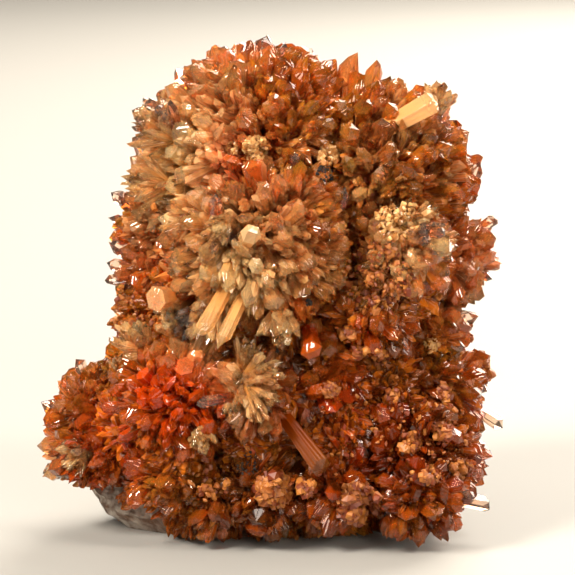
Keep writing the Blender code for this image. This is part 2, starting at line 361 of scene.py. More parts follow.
def sheaves_round(centre, reach, room, rng, spacing=4.4, shorter=(0.0, 2.6), members=8, spread=1.9,
                  splay=0.16, bend=0.24, wild=0.06, widest=3.2, long=(6.0, 10.5)):
    """Root, tip and width of the prisms of a burst, in sheaves of one stout prism and thinner ones.

    Each sheaf stands along a golden-angle direction d, up to reach - shorter or to where the room
    ends, and leans off d by a smooth drift. Member j stands beside the first at radius
    spread * sqrt(j / members), j golden angles round, ends lower, and splays a little outwards.
    """
    count = int(4 * np.pi * (reach / (spacing * MM)) ** 2)
    d = even_directions(count, 0.36, rng)
    swell = 0.5 + 0.5 * lattice_noise(d * reach + centre, 5 * MM, 5)
    short = shorter[0] + (shorter[1] - shorter[0]) * (0.4 * swell + 0.6 * rng.uniform(0, 1, count))
    length = np.minimum(reach - short * MM, room(d) + rng.uniform(-0.5, 0.9, count) * MM)
    down = np.where(d[:, 2] < 0, (centre[2] - FLOOR_GAP) / np.maximum(-d[:, 2], 1e-6), np.inf)
    length = np.minimum(length, down)
    first_tip = centre + d * length[:, None]
    axis = d + bend * drift(first_tip, 6 * MM, 9) + rng.normal(0, wild, d.shape)
    axis /= np.linalg.norm(axis, axis=1)[:, None]
    u = np.cross(axis, drift(first_tip, 9 * MM, 21) + (0.3, 0.2, 0.1))
    u /= np.linalg.norm(u, axis=1)[:, None]
    v = np.cross(axis, u)
    roots, tips, widths = [], [], []
    for j in range(members):
        turn = j * GOLDEN_ANGLE + rng.uniform(0, 0.8, count)
        radius = spread * np.sqrt(j / members) * rng.uniform(0.7, 1.2, count)
        beside = (np.cos(turn) * radius)[:, None] * u + (np.sin(turn) * radius)[:, None] * v
        drop = rng.uniform(0.2, 3.4, count) * (0.35 + radius / spread) * (j > 0)
        tip = first_tip + beside * MM - axis * (drop * MM)[:, None]
        along_it = axis + splay * beside / spread + rng.normal(0, 0.03, d.shape)
        along_it /= np.linalg.norm(along_it, axis=1)[:, None]
        depth = np.minimum(length * 0.8, rng.uniform(*long, count) * MM)
        root = tip - along_it * depth[:, None]
        tip[:, 2] = np.maximum(tip[:, 2], FLOOR_GAP)
        root[:, 2] = np.maximum(root[:, 2], FLOOR_GAP * 2)
        seen = (length > reach * 0.45) & ~buried(tip) & ~bare_rock(tip)
        width = widest * rng.uniform(0.8, 1.2, count) if j == 0 else rng.uniform(1.0, 2.3, count)
        roots.append(root[seen])
        tips.append(tip[seen])
        widths.append(width[seen] * MM)
    return np.concatenate(roots), np.concatenate(tips), np.concatenate(widths)


# A prism: six-sided, flattened, wider at the shoulder than at the root, with a slanted wedge on top.
CORNERS = np.array([(1, 0), (0.5, 1), (-0.5, 1), (-1, 0), (-0.5, -1), (0.5, -1)])
SIDE_FACES = [(i, (i + 1) % 6, 6 + (i + 1) % 6, 6 + i) for i in range(6)]
WEDGE_FACES = [(6, 7, 12), (7, 8, 13, 12), (8, 9, 13), (9, 10, 13), (10, 11, 12, 13), (11, 6, 12)]
PRISM_FACES = [tuple(range(5, -1, -1))] + SIDE_FACES + WEDGE_FACES


def prism_mesh(name, roots, tips, widths, tones, rng, turned=77, flatness=(0.4, 0.9), points_up=(0.5, 1.3)):
    """All prisms of a group as one mesh: ring j of prism i is root + axis * s_j + corners * half width."""
    count = len(roots)
    axis = tips - roots
    length = np.linalg.norm(axis, axis=1)
    axis /= length[:, None]
    spin = drift(tips, 6 * MM, turned) + rng.normal(0, 0.12, axis.shape)
    across = spin - axis * (spin * axis).sum(1)[:, None]
    across /= np.linalg.norm(across, axis=1)[:, None]
    beside = np.cross(axis, across)
    half = widths / 2
    flat = rng.uniform(*flatness, count)
    corner_x = CORNERS[:, 0][None, :] * half[:, None]
    corner_y = CORNERS[:, 1][None, :] * (half * flat)[:, None] * 0.87
    ring = corner_x[..., None] * across[:, None, :] + corner_y[..., None] * beside[:, None, :]
    sharper = np.clip(2.3 - 0.5 * widths / MM, 0.8, 2.0)  # thin crystals end in longer points
    point = np.minimum(half * sharper * rng.uniform(*points_up, count), length * 0.45)
    slant_x, slant_y = rng.uniform(-0.45, 0.45, (2, count, 1))
    lift = (CORNERS[:, 0] * slant_x + CORNERS[:, 1] * slant_y) * point[:, None]
    shoulder = (length - point)[:, None] + lift
    root_ring = roots[:, None, :] + ring * 0.74
    top_ring = roots[:, None, :] + axis[:, None, :] * shoulder[..., None] + ring
    ridge = rng.uniform(0.0, 0.45, count) * half
    ridge = ridge[:, None, None] * np.array([1, -1])[None, :, None] * across[:, None, :]
    tilt = rng.uniform(-0.25, 0.25, (count, 1, 1)) * point[:, None, None]
    tilt = tilt * np.array([1, -1])[None, :, None] * axis[:, None, :]
    top = tips[:, None, :] + ridge + tilt - np.abs(tilt)
    points = np.concatenate([root_ring, top_ring, top], 1)
    points[..., 2] = np.maximum(points[..., 2], FLOOR_GAP * 0.6)
    along = np.tile([0] * 6 + [0.8] * 6 + [1.0] * 2, count)
    first = (np.arange(count) * 14)[:, None]
    quads = (np.array(SIDE_FACES)[None] + first[..., None]).reshape(-1, 4)
    caps = (np.arange(5, -1, -1)[None] + first).reshape(-1, 6)
    wedge3 = (np.array([f for f in WEDGE_FACES if len(f) == 3])[None] + first[..., None]).reshape(-1, 3)
    wedge4 = (np.array([f for f in WEDGE_FACES if len(f) == 4])[None] + first[..., None]).reshape(-1, 4)
    faces = caps.tolist() + quads.tolist() + wedge3.tolist() + wedge4.tolist()
    attributes = {"along": along, "side": np.tile([0, 1] * 6 + [0.5] * 2, count)}
    attributes["fine"] = np.repeat(widths / MM * 1.6, 14)
    for label, values in tones.items():
        attributes[label] = np.repeat(values, 14)
    return mesh_object(name, points.reshape(-1, 3), faces, attributes)


# Colour zones of the real specimen, with painted shade: centre and radius in mm, then how pale, how red and how
# much painted shade darkens the prisms there, where the light falls off, low under the specimen and in the gaps;
# a negative painted shade is painted light that lightens them.
ZONES = {
    "pale_upper_left": ((-14, -8, 62), 11, 0.9, 0.0, -0.7),
    "pale_left": ((-18, -6, 52), 9, 0.6, 0.0, -0.6),
    "red_upper": ((-8, -14, 60), 5.5, -0.5, 0.9, 0.0),
    "orange_top": ((3, -6, 72), 10, -0.3, 0.4, 0.5),
    "orange_right": ((18, -8, 62), 11, 0.1, 0.2, 0.5),
    "peach_middle": ((-5, -24, 46), 12, 0.65, 0.15, -0.4),
    "yellow_clear": ((-11, -24, 36), 9, 0.8, 0.0, -0.8),
    "cream_right": ((19, -21, 45), 6.5, 0.7, 0.0, -0.7),
    "red_heart": ((-17, -22, 24), 8.0, -0.8, 1.1, 0.1),
    "red_far_left": ((-29, -11, 15), 8.5, -0.3, 1.0, 0.9),
    "pale_far_left": ((-35, -6, 10), 5, 0.8, 0.0, 0.0),
    "pale_fan": ((-4, -24, 24), 6, 0.7, 0.0, 0.0),
    "orange_in_painted_shade_lower_right": ((24, -18, 14), 17, -0.4, 0.8, 1.6),
    "red_in_painted_shade_middle_right": ((12, -20, 24), 10, -0.3, 0.6, 0.35),
    "painted_shade_feet": ((-4, -18, 6), 16, -0.2, 0.5, 1.5),
    "painted_shade_gap_front": ((2, -16, 29), 5, 0.0, 0.2, 1.5),
    "painted_shade_gap_right": ((19, -14, 30), 5, 0.0, 0.2, 1.2),
    "right_glow": ((33, -4, 40), 8, 0.3, 0.3, 0.0),
    "right_shade": ((30, -6, 50), 10, 0.0, 0.3, 0.5),
    "left_behind": ((-24, -2, 44), 9, 0.0, 0.5, 0.3),
}


def tones_at(points, rng):
    """Paleness, redness and lightness of each prism.

    Each is the sum of zone strength times exp(-(distance / radius) ** 2), plus patches and chance. The lightness
    is chance less the zones' painted shade, so it carries painted shade and, where that is negative, painted
    light.
    """
    pale, red, dark = np.zeros((3, len(points)))
    for centre, radius, how_pale, how_red, painted_shade in ZONES.values():
        near = np.exp(-((points - np.array(centre) * MM) ** 2).sum(1) / (radius * MM) ** 2)
        pale += how_pale * near
        red += how_red * near
        dark += painted_shade * near
    patches = lattice_noise(points, 7 * MM, 11)
    pale += np.clip(patches, 0, 1) * 0.35 + rng.uniform(-0.15, 0.2, len(points))
    red += np.clip(-patches, 0, 1) * 0.35 + rng.uniform(-0.15, 0.15, len(points))
    return {
        "pale": np.clip(pale, 0, 1),
        "red": np.clip(red, 0, 1),
        "tone": rng.uniform(0, 1, len(points)) - dark * 0.8,
    }


creedite, tree, shader = new_material("creedite_glassy_prisms")
along = add_node(tree, "ShaderNodeAttribute", attribute_name="along").outputs["Fac"]
pale = add_node(tree, "ShaderNodeAttribute", attribute_name="pale").outputs["Fac"]
red = add_node(tree, "ShaderNodeAttribute", attribute_name="red").outputs["Fac"]
tone = add_node(tree, "ShaderNodeAttribute", attribute_name="tone").outputs["Fac"]


def mix_colour(tree, factor, first, second):
    """A mix of two colours, each a hex value or another node's output."""
    node = add_node(tree, "ShaderNodeMix", data_type="RGBA")
    tree.links.new(factor, node.inputs["Factor"])
    for socket, colour in ((6, first), (7, second)):
        if isinstance(colour, str):
            node.inputs[socket].default_value = linear(colour)
        else:
            tree.links.new(colour, node.inputs[socket])
    return node.outputs[2]


def math_node(tree, operation, first, second):
    node = add_node(tree, "ShaderNodeMath", operation=operation)
    for socket, value in enumerate((first, second)):
        if isinstance(value, (int, float)):
            node.inputs[socket].default_value = value
        else:
            tree.links.new(value, node.inputs[socket])
    return node.outputs[0]


clear = add_node(tree, "ShaderNodeAttribute", attribute_name="clear").outputs["Fac"]
side = add_node(tree, "ShaderNodeAttribute", attribute_name="side").outputs["Fac"]
fine = add_node(tree, "ShaderNodeAttribute", attribute_name="fine").outputs["Fac"]
place = add_node(tree, "ShaderNodeTexCoord").outputs["Object"]
root_colour = mix_colour(tree, red, "#E86604", "#D02C00")
root_colour = mix_colour(tree, pale, root_colour, "#F8B45C")
golden = add_node(tree, "ShaderNodeTexNoise", {"Vector": place}, Scale=1 / (4.5 * MM), Detail=1.0)
glow = add_node(tree, "ShaderNodeMapRange", {"Value": golden.outputs["Fac"]})
for socket, value in zip(("From Min", "From Max", "To Min", "To Max"), (0.48, 0.64, 0, 0.8)):
    glow.inputs[socket].default_value = value
orange_tip = mix_colour(tree, glow.outputs["Result"], "#F69A3C", "#FFBC3C")
tip_colour = mix_colour(tree, red, orange_tip, "#EC5408")
tip_colour = mix_colour(tree, pale, tip_colour, "#FFDFA2")
outer = math_node(tree, "POWER", along, 1.6)
clear_colour = mix_colour(tree, outer, root_colour, tip_colour)
cloudy_root = mix_colour(tree, red, "#C65404", "#B83000")
cloudy_tip = mix_colour(tree, pale, "#DC781C", "#F6D096")
cloudy_colour = mix_colour(tree, outer, cloudy_root, cloudy_tip)
body_colour = mix_colour(tree, clear, cloudy_colour, clear_colour)
# Veils: lengthwise streaks and clouds lighten each prism and make it less see-through. They are partly the
# crystal's own fibrous veils and partly painted highlight, light caught along the striations.
lengthwise = add_node(tree, "ShaderNodeCombineXYZ", {
    "X": math_node(tree, "MULTIPLY", side, fine), "Y": math_node(tree, "MULTIPLY", along, 1.4),
    "Z": math_node(tree, "MULTIPLY", tone, 41.0)}).outputs["Vector"]
streaks = add_node(tree, "ShaderNodeTexNoise", {"Vector": lengthwise}, Scale=1.5, Detail=3.0)
clouds = add_node(tree, "ShaderNodeTexNoise", {"Vector": place}, Scale=1 / (2.4 * MM), Detail=2.0)
veils = math_node(tree, "ADD", streaks.outputs["Fac"], clouds.outputs["Fac"])
veil_and_painted_streak_highlight = add_node(tree, "ShaderNodeMapRange", {"Value": veils})
for socket, value in zip(("From Min", "From Max", "To Min", "To Max"), (0.8, 1.2, 0, 1)):
    veil_and_painted_streak_highlight.inputs[socket].default_value = value
smooth = add_node(tree, "ShaderNodeMapRange", {"Value": fine})  # wide crystals are less streaked
for socket, value in zip(("From Min", "From Max", "To Min", "To Max"), (2.4, 5.0, 0, 1)):
    smooth.inputs[socket].default_value = value
veil_and_painted_streak_highlight = add_node(tree, "ShaderNodeMix", {"Factor": smooth.outputs["Result"], "A": veil_and_painted_streak_highlight.outputs["Result"]}, B=0.5)
veil_and_painted_streak_highlight = veil_and_painted_streak_highlight.outputs["Result"]
# Painted highlight: near the tip, the edges of each face are lightened toward #FFE6BC, standing in for light
# refracted at the crystal edges; wide prisms get less of it.
edge = math_node(tree, "ABSOLUTE", math_node(tree, "MULTIPLY_ADD", side, 2.0), 0.0)
edge.node.inputs[0].links[0].from_node.inputs[2].default_value = -1.0
edge = math_node(tree, "POWER", edge, 5.0)
painted_rim_highlight = math_node(tree, "MULTIPLY", math_node(tree, "MULTIPLY", edge, along), 0.6)
narrow = math_node(tree, "SUBTRACT", 1.1, smooth.outputs["Result"])
painted_rim_highlight = math_node(tree, "MULTIPLY", painted_rim_highlight, narrow)
with_painted_rim_highlight = mix_colour(tree, painted_rim_highlight, body_colour, "#FFE6BC")
# Lightness: the tone attribute, which carries the zones' painted shade and painted light, plus the painted
# highlight streaks of the veils.
lightness = math_node(tree, "MULTIPLY_ADD", tone, 0.42)
lightness.node.inputs[2].default_value = 0.5
lightness = math_node(tree, "ADD", lightness, math_node(tree, "MULTIPLY", veil_and_painted_streak_highlight, 0.36))
shaded = add_node(tree, "ShaderNodeHueSaturation", {"Color": with_painted_rim_highlight, "Value": lightness})
tree.links.new(shaded.outputs["Color"], shader.inputs["Base Color"])
ridges = math_node(tree, "SINE", math_node(tree, "MULTIPLY", side, 5 * math.pi), 0.0)
striated = add_node(tree, "ShaderNodeBump", {"Height": ridges}, Distance=0.012 * MM)
tree.links.new(striated.outputs["Normal"], shader.inputs["Normal"])
shader.inputs["Roughness"].default_value = 0.06
shader.inputs["IOR"].default_value = 1.46
outer_clear = math_node(tree, "MULTIPLY_ADD", outer, 0.45)
outer_clear.node.inputs[2].default_value = 0.62
thinned = math_node(tree, "MULTIPLY_ADD", veil_and_painted_streak_highlight, -0.2)
thinned.node.inputs[2].default_value = 1.0
cloud = math_node(tree, "MULTIPLY_ADD", red, -0.3)
cloud.node.inputs[2].default_value = 1.0
seen_through = math_node(tree, "MULTIPLY", math_node(tree, "MULTIPLY", outer_clear, clear), cloud)
seen_through = math_node(tree, "MULTIPLY", seen_through, thinned)
tree.links.new(seen_through, shader.inputs["Transmission Weight"])
absorb = add_node(tree, "ShaderNodeVolumeAbsorption", Density=90.0)
absorb.inputs["Color"].default_value = linear("#FCB070")
tree.links.new(absorb.outputs["Volume"], tree.nodes["Material Output"].inputs["Volume"])

GROUPS = {
    "crown_prisms": ("crown_left", "crown_right", "crown_front", "crown_back"),
    "left_prisms": ("left_shoulder", "left_side", "left_flank", "left_hip", "red_heart",
                    "far_left", "far_left_top", "left_foot"),
    "middle_prisms": ("pale_fan", "between_feet", "front_foot", "front_foot_right", "front_waist",
                      "back_waist", "back_middle"),
    "right_prisms": ("right_flank", "right_cream", "right_belly", "right_waist", "right_knee",
                     "right_foot", "right_toe", "back_right"),
}
names = list(BURSTS)
made = []
for group_number, (group, members) in enumerate(GROUPS.items()):
    rng = np.random.default_rng(100 + group_number)
    parts = []
    for member in members:
        index = names.index(member)
        room = lambda d: room_outwards(d, index)
        parts.append(sheaves_round(CENTRES[index], REACHES[index], room, rng))
        parts.append(sheaves_round(CENTRES[index], REACHES[index], room, rng, spacing=2.5, shorter=(2.4, 4.2),
                                   members=2, spread=0.9, widest=1.6, bend=0.5, wild=0.15, long=(4.0, 6.0)))
    roots, tips, widths = (np.concatenate(column) for column in zip(*parts))
    clear = np.clip(0.66 + 0.13 * widths / MM + rng.uniform(-0.2, 0.15, len(tips)), 0.2, 1.0)
    prisms = prism_mesh(group, roots, tips, widths, {**tones_at(tips, rng), "clear": clear}, rng)
    prisms.data.materials.append(creedite)
    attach(prisms, "root")
    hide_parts("creedite")
    made.append(prisms)
    print(group, len(roots), "prisms", 24 * len(roots), "triangles")

# Crystals that stand out of the rest and are known one by one in the picture: root, tip and width in
# mm, then how pale, how red, how clear, how light and how pointed each is.
STANDOUTS = {
    "leaning_orange": ((1.5, -18, 21), (7.0, -23.6, 14.6), 4.2, 0.0, 0.3, 0.6, -0.9, 0.3),
    "blunt_orange": ((4.8, -13, 33.6), (5.3, -23.4, 32.3), 3.3, 0.0, 1.0, 0.5, -0.5, 0.5),
    "right_peak_inner": ((9, 2, 62), (11.9, 1, 74.3), 3.6, 0.2, 0.3, 0.9, 0.3, 2.2),
    "right_peak_outer": ((12, 2, 62), (15.8, 1, 72.9), 3.2, 0.2, 0.3, 0.9, 0.4, 2.2),
    "pale_pair_long": ((-3.5, -16, 42), (-8.2, -26.0, 33.8), 2.8, 1.0, 0.0, 0.95, 1.1, 1.2),
    "pale_pair_short": ((-6.5, -16, 42), (-11, -25.0, 35.2), 2.6, 1.0, 0.0, 0.95, 1.0, 1.2),
    "upper_right_pink": ((13.5, -6.5, 61.6), (24.4, -7.8, 67.9), 4.2, 1.1, 0.0, 0.9, 1.2, 0.7),
    "cream_right_point": ((19.0, -14.5, 49.0), (26.0, -20.0, 46.8), 3.2, 1.0, 0.0, 0.95, 0.9, 0.9),
    "left_block": ((-16, -12, 38.6), (-18.0, -18.0, 39.2), 4.0, 1.1, 0.0, 0.9, 1.1, 0.3),
    "yellow_round": ((-5, -18, 47), (-3.3, -26.0, 50.6), 3.2, 1.0, 0.0, 0.7, 1.1, 1.0),
}
rng = np.random.default_rng(61)
roots, tips = (np.array([s[k] for s in STANDOUTS.values()], float) * MM for k in (0, 1))
widths, pale_share, red_share, clear, tone, pointed = np.array([s[2:] for s in STANDOUTS.values()]).T
tones = {"pale": pale_share, "red": red_share, "clear": clear, "tone": tone}
standouts = prism_mesh("standing_crystals", roots, tips, widths * MM, tones, rng, turned=57,
                       flatness=(0.75, 0.9), points_up=(pointed * 0.9, pointed * 1.1))
standouts.data.materials.append(creedite)
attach(standouts, "root")
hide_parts("creedite")

# Short stout prisms line the hollows between the bursts, over the grown-together balls.
rng = np.random.default_rng(301)
parts = []
for x, y, z, radius in GROWN_SOLID:
    parts.append(sheaves_round(np.array((x, y, z)) * MM, (radius + 2.4) * MM, lambda d: np.full(len(d), 1.0), rng,
                               spacing=2.7, members=5, spread=1.3, widest=2.0, bend=0.5, long=(3.5, 5.0)))
roots, tips, widths = (np.concatenate(column) for column in zip(*parts))
tones = {**tones_at(tips, rng), "clear": rng.uniform(0.0, 0.5, len(tips))}
lining = prism_mesh("hollow_prisms", roots, tips, widths, tones, rng)
lining.data.materials.append(creedite)
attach(lining, "root")
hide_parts("creedite")
made.append(lining)
print("hollow_prisms", len(roots), "prisms", 24 * len(roots), "triangles")


# Grown-together roots: behind their free ends the prisms fill all the room, and the mass there is
# milky and deep orange. Each burst has a faceted ball of it, and larger ones fill the crown.

ROUND, UP = 48, 24  # steps round and up each ball


def rough_ball(centre, radius, seed):
    """p = c + r * (1 + 0.06 * noise) * (sin v cos u, sin v sin u, cos v), closed at its two poles."""
    u = np.arange(ROUND) / ROUND * 2 * np.pi
    v = np.arange(1, UP) / UP * np.pi
    v, u = np.meshgrid(v, u, indexing="ij")
    d = np.stack([np.sin(v) * np.cos(u), np.sin(v) * np.sin(u), np.cos(v)], -1).reshape(-1, 3)
    d = np.concatenate([d, [(0, 0, 1), (0, 0, -1)]])
    points = centre + d * radius
    points += d * (lattice_noise(points, 1.3 * MM, seed) * 0.9 * MM)[:, None]
    i, j = np.meshgrid(np.arange(UP - 2), np.arange(ROUND), indexing="ij")
    a, b = i * ROUND + j, i * ROUND + (j + 1) % ROUND
    quads = np.stack([a, a + ROUND, b + ROUND, b], -1).reshape(-1, 4)
    j = np.arange(ROUND)
    top, bottom = len(d) - 2, len(d) - 1
    last = (UP - 2) * ROUND
    caps = [np.stack([j * 0 + top, j, (j + 1) % ROUND], 1)]
    caps += [np.stack([j * 0 + bottom, last + (j + 1) % ROUND, last + j], 1)]
    return points, quads, np.concatenate(caps)


balls = [(c, r * 0.82) for c, r in zip(CENTRES, CORES)]
balls += [(np.array(ball[:3]) * MM, ball[3] * MM * 0.93) for ball in GROWN_SOLID]
points, faces, start = [], [], 0
for number, (centre, radius) in enumerate(balls):
    ball_points, quads, caps = rough_ball(centre, radius, number)
    points.append(ball_points)
    faces += (quads + start).tolist() + (caps + start).tolist()
    start += len(ball_points)
points = np.concatenate(points)
rng = np.random.default_rng(7)
mass = mesh_object("grown_together_roots", points, faces, tones_at(points, rng))
milky, tree, shader = new_material("creedite_milky_roots")
red = add_node(tree, "ShaderNodeAttribute", attribute_name="red").outputs["Fac"]
pale = add_node(tree, "ShaderNodeAttribute", attribute_name="pale").outputs["Fac"]
milky_colour = mix_colour(tree, red, "#9C4006", "#963206")
milky_colour = mix_colour(tree, pale, milky_colour, "#B8641A")
tree.links.new(milky_colour, shader.inputs["Base Color"])
shader.inputs["Roughness"].default_value = 0.6
mass.data.materials.append(milky)
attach(mass, "root")
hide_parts("creedite")


# Druse over the roots: short prisms wherever the milky mass would show bare between the bursts. Lines of
# sight from all round find those places, and each place on a 0.8 mm lattice gets one prism.

from mathutils.bvhtree import BVHTree


def tree_of(pieces):
    corners, polygons, start = [], [], 0
    for piece in pieces:
        corners.append(vertex_array(piece.data))
        polygons += [[v + start for v in face.vertices] for face in piece.data.polygons]
        start += len(corners[-1])
    return BVHTree.FromPolygons(np.concatenate(corners).tolist(), polygons)


surface = tree_of(made)
roots_surface = tree_of([mass])
shown = {}
for turn in range(0, 360, 24):
    for rise in (5, 30, 60):
        a, e = math.radians(turn), math.radians(rise)
        back = np.array([math.sin(a) * math.cos(e), -math.cos(a) * math.cos(e), math.sin(e)])
        right = np.array([math.cos(a), math.sin(a), 0.0])
        up = np.cross(right, -back)
        for x in np.arange(-40, 40, 0.9):
            for z in np.arange(-42, 42, 0.9):
                eye = Vector(np.array(LOOKED_AT) + back * 0.1 + (right * x + up * z) * MM)
                deep = roots_surface.ray_cast(eye, Vector(-back), 0.2)
                if deep[0] is not None and surface.ray_cast(eye, Vector(-back), deep[3])[0] is None:
                    shown[tuple(np.round(np.array(deep[0]) / (0.8 * MM)).astype(int))] = (deep[0], deep[1])
bases, out = np.array([place for place, _ in shown.values()]), np.array([turn for _, turn in shown.values()])
rng = np.random.default_rng(302)
lean = out + 0.7 * drift(bases, 4 * MM, 33) + rng.normal(0, 0.3, out.shape)
lean /= np.linalg.norm(lean, axis=1)[:, None]
roots = bases - lean * 1.2 * MM
tips = bases + lean * rng.uniform(0.9, 2.6, (len(bases), 1)) * MM
fits = (tips[:, 2] > FLOOR_GAP) & ~bare_rock(tips)
roots, tips = roots[fits], tips[fits]
widths = rng.uniform(0.8, 1.7, len(tips)) * MM
tones = {**tones_at(tips, rng), "clear": rng.uniform(0.3, 0.9, len(tips))}
cover = prism_mesh("druse_over_roots", roots, tips, widths, tones, rng)
cover.data.materials.append(creedite)
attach(cover, "root")
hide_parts("creedite")
print("druse_over_roots", len(tips), "prisms")


# Cream and clear sprays: small bursts of paler crystals that grew last, on top of the orange ones. Each
# is placed where a line of sight meets the crystals, given by the turn of the view round the specimen
# and by millimetres right of and above the middle of the picture.

def view_axes(turn):
    """Unit vectors back to the eye, to the right and up, for a view turned by that many degrees."""
    a, rise = math.radians(turn), CAMERA_RISE
    back = np.array([math.sin(a) * math.cos(rise), -math.cos(a) * math.cos(rise), math.sin(rise)])
    right = np.array([math.cos(a), math.sin(a), 0.0])
    return back, right, np.cross(right, -back)


def seen_at(turn, x, z):
    """The point of the crystals that a line of sight meets, or None where it passes by."""
    back, right, up = view_axes(turn)
    eye = np.array(LOOKED_AT) + back * CAMERA_DISTANCE
    sight = -back * CAMERA_DISTANCE + (right * x + up * z) * MM
    hit = surface.ray_cast(Vector(eye), Vector(sight).normalized())[0]
    return None if hit is None else np.array(hit)


def spray(turn, x, z, toward, sink, length, count, width, cone, rng):
    """Prisms fanned from one root: axis + cone * random vector, the outer ones a little shorter."""
    back, right, up = view_axes(turn)
    hit = seen_at(turn, x, z)
    if hit is None:
        raise ValueError(f"no crystals are seen at {turn}, {x}, {z}")
    axis = right * toward[0] + up * toward[1] + back * toward[2]
    axis = axis / np.linalg.norm(axis)
    root = hit - back * sink * MM
    strayed = rng.normal(0, 1, (count, 3))
    strayed *= (cone * rng.uniform(0, 1, count) ** 0.5 / np.linalg.norm(strayed, axis=1))[:, None]
    d = axis + strayed
    d /= np.linalg.norm(d, axis=1)[:, None]
    reach = length * MM * (1 - 0.35 * (1 - d @ axis)) * rng.uniform(0.7, 1.0, count)
    roots = root + rng.normal(0, 0.15, (count, 3)) * width * MM
    return roots, root + d * reach[:, None], rng.uniform(0.6, 1.3, count) * width * MM


# turn, right, up, (direction right, up, back), sink, length, count, width, cone
PALE_SPRAYS = {
    "cream_right_heart": (0, 18.5, 9.5, (0.5, 0.1, 0.8), 3.5, 6.5, 60, 1.5, 0.9),
    "cream_right_low": (0, 21.0, 7.0, (0.9, -0.1, 0.5), 3.0, 6.0, 30, 1.6, 0.6),
    "fan": (0, -7.5, -14.0, (0.2, 0.1, 0.97), 2.0, 4.2, 34, 1.5, 1.0),
    "fan_up": (0, -7.0, -12.0, (0.4, 0.7, 0.7), 1.6, 6.0, 20, 1.5, 0.7),
    "fan_right": (0, -6.0, -13.5, (0.8, 0.1, 0.7), 1.6, 6.5, 22, 1.5, 0.7),
    "fan_low_right": (0, -6.0, -15.0, (0.6, -0.5, 0.7), 1.6, 7.0, 20, 1.5, 0.7),
    "fan_low": (0, -7.5, -16.0, (0.1, -0.8, 0.7), 1.6, 6.5, 20, 1.5, 0.7),
    "yellow_clear_low": (0, -10.5, -1.0, (-0.5, -0.8, 0.5), 4.0, 8.5, 26, 2.1, 0.6),
    "yellow_clear_left": (0, -15.0, -1.5, (-0.6, -0.5, 0.6), 4.0, 8.0, 20, 2.2, 0.55),
    "hanging_beige": (0, -1.0, -3.0, (0.05, -0.85, 0.6), 3.5, 7.0, 34, 1.8, 0.7),
    "upper_left_pale": (0, -17.0, 23.0, (-0.8, 0.4, 0.4), 4.0, 8.5, 44, 1.7, 0.7),
    "upper_left_low": (0, -18.0, 16.0, (-0.9, 0.1, 0.4), 4.0, 8.0, 36, 1.7, 0.7),
    "white_facets": (0, -10.0, 10.5, (-0.2, -0.5, 0.8), 3.0, 5.5, 14, 2.0, 0.7),
    "yellow_round": (0, -5.0, 11.8, (0.1, 0.1, 1.0), 2.5, 4.0, 12, 2.2, 0.8),
    "top_fan_right": (0, 22.0, 26.5, (0.3, 0.8, 0.5), 3.5, 6.5, 24, 1.8, 0.7),
    "heart_rim": (0, -22.0, -10.0, (-0.7, 0.6, 0.5), 3.0, 6.5, 34, 1.6, 0.8),
    "heart_rim_top": (0, -17.0, -8.0, (-0.1, 0.8, 0.6), 3.0, 6.0, 30, 1.6, 0.7),
    "heart_foot": (0, -13.0, -22.0, (-0.1, -0.6, 0.8), 2.5, 4.5, 12, 1.6, 0.9),
    "far_left_pale": (0, -31.0, -25.0, (-0.6, -0.4, 0.6), 3.0, 6.0, 30, 1.7, 0.8),
    "far_left_top": (0, -27.0, -14.0, (0.3, 0.7, 0.6), 3.0, 5.0, 16, 1.5, 0.7),
    "back_high": (180, -8.0, 20.0, (-0.2, 0.4, 0.9), 3.5, 7.0, 40, 1.7, 0.9),
    "back_low": (180, 12.0, -12.0, (0.3, 0.0, 0.9), 3.5, 7.0, 36, 1.7, 0.9),
    "left_side_pale": (-90, 5.0, 10.0, (0.1, 0.3, 0.9), 3.5, 7.0, 36, 1.8, 0.9),
    "right_side_pale": (90, 4.0, 8.0, (0.1, 0.3, 0.9), 3.5, 7.0, 36, 1.8, 0.9),
}
rng = np.random.default_rng(401)
parts = [spray(*values, rng) for values in PALE_SPRAYS.values()]
roots, tips, widths = (np.concatenate(column) for column in zip(*parts))
tips = np.clip(tips, np.array(CAD_BOX[0]) + 0.2 * MM, np.array(CAD_BOX[1]) - 0.2 * MM)
tones = {"pale": rng.uniform(0.6, 1.0, len(tips)), "red": np.zeros(len(tips)),
         "tone": rng.uniform(0.2, 0.95, len(tips)), "clear": rng.uniform(0.8, 1.05, len(tips))}
sprays = prism_mesh("pale_sprays", roots, tips, widths, tones, rng)
sprays.data.materials.append(creedite)
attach(sprays, "root")
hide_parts("creedite")


# Clear crystals: the last growth, almost free of iron, as see-through as glass with a breath of peach.
# The large ones stand out round the edge and the rest are small sprays.

# Blunt clear tips that stand out round the edge: right, up, back and width in mm.
EDGE_TIPS = np.array([
    (-1.4, 76.9, 0, 3.3), (1.5, 75.6, 1, 2.6), (-4.6, 75.2, 0, 2.6), (-8.0, 75.0, 1, 2.8), (-10.3, 73.4, 0, 2.6),
    (-15.3, 71.4, 1, 2.8), (-17.6, 68.2, 0, 2.8), (-19.9, 64.4, 1, 3.2), (-21.1, 61.5, 0, 2.8),
    (-20.6, 56.5, 0, 3.0), (-25.3, 51.9, 5, 2.8), (-25.9, 47.9, 5, 2.6), (-25.7, 44.2, 5, 2.8),
    (-26.2, 40.9, 4, 2.4), (-26.4, 38.0, 4, 2.4), (18.7, 70.0, 1, 3.0), (23.4, 67.4, 1, 2.6),
    (26.8, 63.2, -1, 3.0), (28.6, 59.8, 0, 2.6), (31.2, 57.4, 0, 2.6), (34.1, 48.9, 0, 2.8),
    (33.9, 43.6, -1, 2.8), (33.5, 39.6, -2, 2.8), (31.0, 34.2, -3, 2.6), (32.0, 28.0, -4, 2.8),
    (32.8, 22.4, -4, 2.6), (32.8, 5.4, -8, 2.8), (-34.9, 14.0, -5, 2.4), (-35.8, 9.8, -5, 2.8),
    (-34.9, 20.0, -4, 2.4), (-30.5, 27.2, -3, 2.6), (34.8, 17.3, -7, 2.9)]) * MM
